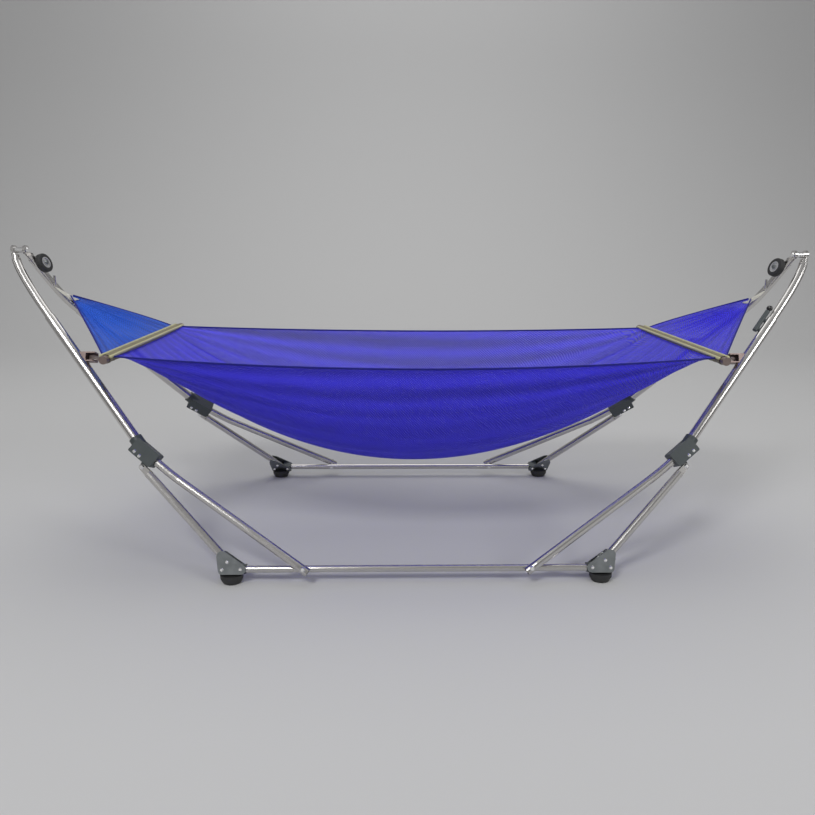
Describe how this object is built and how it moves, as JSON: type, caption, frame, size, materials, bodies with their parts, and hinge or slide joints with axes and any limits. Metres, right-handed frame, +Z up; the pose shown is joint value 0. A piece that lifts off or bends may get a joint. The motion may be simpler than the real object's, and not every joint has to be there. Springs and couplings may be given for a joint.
{
  "type": "hammock on stand",
  "caption": "Net hammock with spreader bars, hung between the ends of a four-legged folding steel tube stand whose two leaning sides close about the head pins.",
  "frame": {"origin": "on the floor, under the middle of the stand", "axes": "+X along the hammock to the right end, +Y from the front side to the rear side, +Z up"},
  "size_m": [2.4878, 0.8928, 0.919],
  "materials": {
    "tube_steel": "bright zinc or chrome plated tube",
    "bracket_steel": "grey plated sheet steel and rivets",
    "rubber": "matt",
    "dark_plastic": "satin moulded",
    "black_plastic": "gloss",
    "hub": "silver plastic",
    "sleeve_fabric": "woven webbing with light edges",
    "blue_net": "fine knotted net",
    "white_cord": "twisted cord"
  },
  "bodies": {
    "stand": {"rear_rail": "tube_steel", "rear_left_foot_bracket": "bracket_steel", "rear_right_foot_bracket": "bracket_steel", "rear_left_foot": "rubber", "rear_right_foot": "rubber", "rear_left_strut": "tube_steel", "rear_right_strut": "tube_steel", "rear_left_brace": "tube_steel", "rear_right_brace": "tube_steel", "rear_left_collar": "dark_plastic", "rear_right_collar": "dark_plastic", "rear_left_leg": "tube_steel", "rear_right_leg": "tube_steel", "rear_left_arm": "tube_steel", "rear_right_arm": "tube_steel", "rear_head_eyes": "tube_steel", "rear_rivets": "bracket_steel", "rear_foot_inserts": "dark_plastic", "rear_lock_housing": "dark_plastic", "head_pins": "tube_steel", "left_hook": "tube_steel", "right_hook": "tube_steel", "wheel_studs": "tube_steel", "left_spreader_bar": "tube_steel", "right_spreader_bar": "tube_steel", "spreader_brackets": "tube_steel", "left_spreader_sleeve": "sleeve_fabric", "right_spreader_sleeve": "sleeve_fabric", "bed_net": "blue_net", "left_net_end": "blue_net", "right_net_end": "blue_net", "hook_cords": "white_cord"},
    "front_side": {"front_rail": "tube_steel", "front_left_foot_bracket": "bracket_steel", "front_right_foot_bracket": "bracket_steel", "front_left_foot": "rubber", "front_right_foot": "rubber", "front_left_strut": "tube_steel", "front_right_strut": "tube_steel", "front_left_brace": "tube_steel", "front_right_brace": "tube_steel", "front_left_collar": "dark_plastic", "front_right_collar": "dark_plastic", "front_left_leg": "tube_steel", "front_right_leg": "tube_steel", "front_left_arm": "tube_steel", "front_right_arm": "tube_steel", "front_head_eyes": "tube_steel", "front_rivets": "bracket_steel", "front_foot_inserts": "dark_plastic", "front_lock_housing": "dark_plastic", "spreader_saddles": "dark_plastic"},
    "left_wheel": {"left_wheel_tyre": "rubber", "left_wheel_hub": "hub"},
    "right_wheel": {"right_wheel_tyre": "rubber", "right_wheel_hub": "hub"},
    "front_lock": {"front_lock_pin": "black_plastic"},
    "rear_lock": {"rear_lock_pin": "black_plastic"}
  },
  "joints": [
    {"name": "front_side_close", "type": "hinge", "parent": "stand", "child": "front_side", "pos_m": [0, 0, 0.905], "axis": [1, 0, 0], "range_deg": [0, 37]},
    {"name": "left_wheel_spin", "type": "hinge", "parent": "stand", "child": "left_wheel", "pos_m": [-1.16051, 0.01875, 0.86543], "axis": [0.9511, -0.1324, 0.2792], "continuous": true},
    {"name": "right_wheel_spin", "type": "hinge", "parent": "stand", "child": "right_wheel", "pos_m": [1.16051, 0.01875, 0.86543], "axis": [-0.9511, -0.1324, 0.2792], "continuous": true},
    {"name": "front_lock_pull", "type": "slide", "parent": "front_side", "child": "front_lock", "axis": [0.6077, 0.3402, 0.7177], "range_m": [0, 0.008], "stiffness_N_per_m": 400, "springref_m": -0.006},
    {"name": "rear_lock_pull", "type": "slide", "parent": "stand", "child": "rear_lock", "axis": [-0.6077, -0.3402, 0.7177], "range_m": [0, 0.008], "stiffness_N_per_m": 400, "springref_m": -0.006}
  ]
}
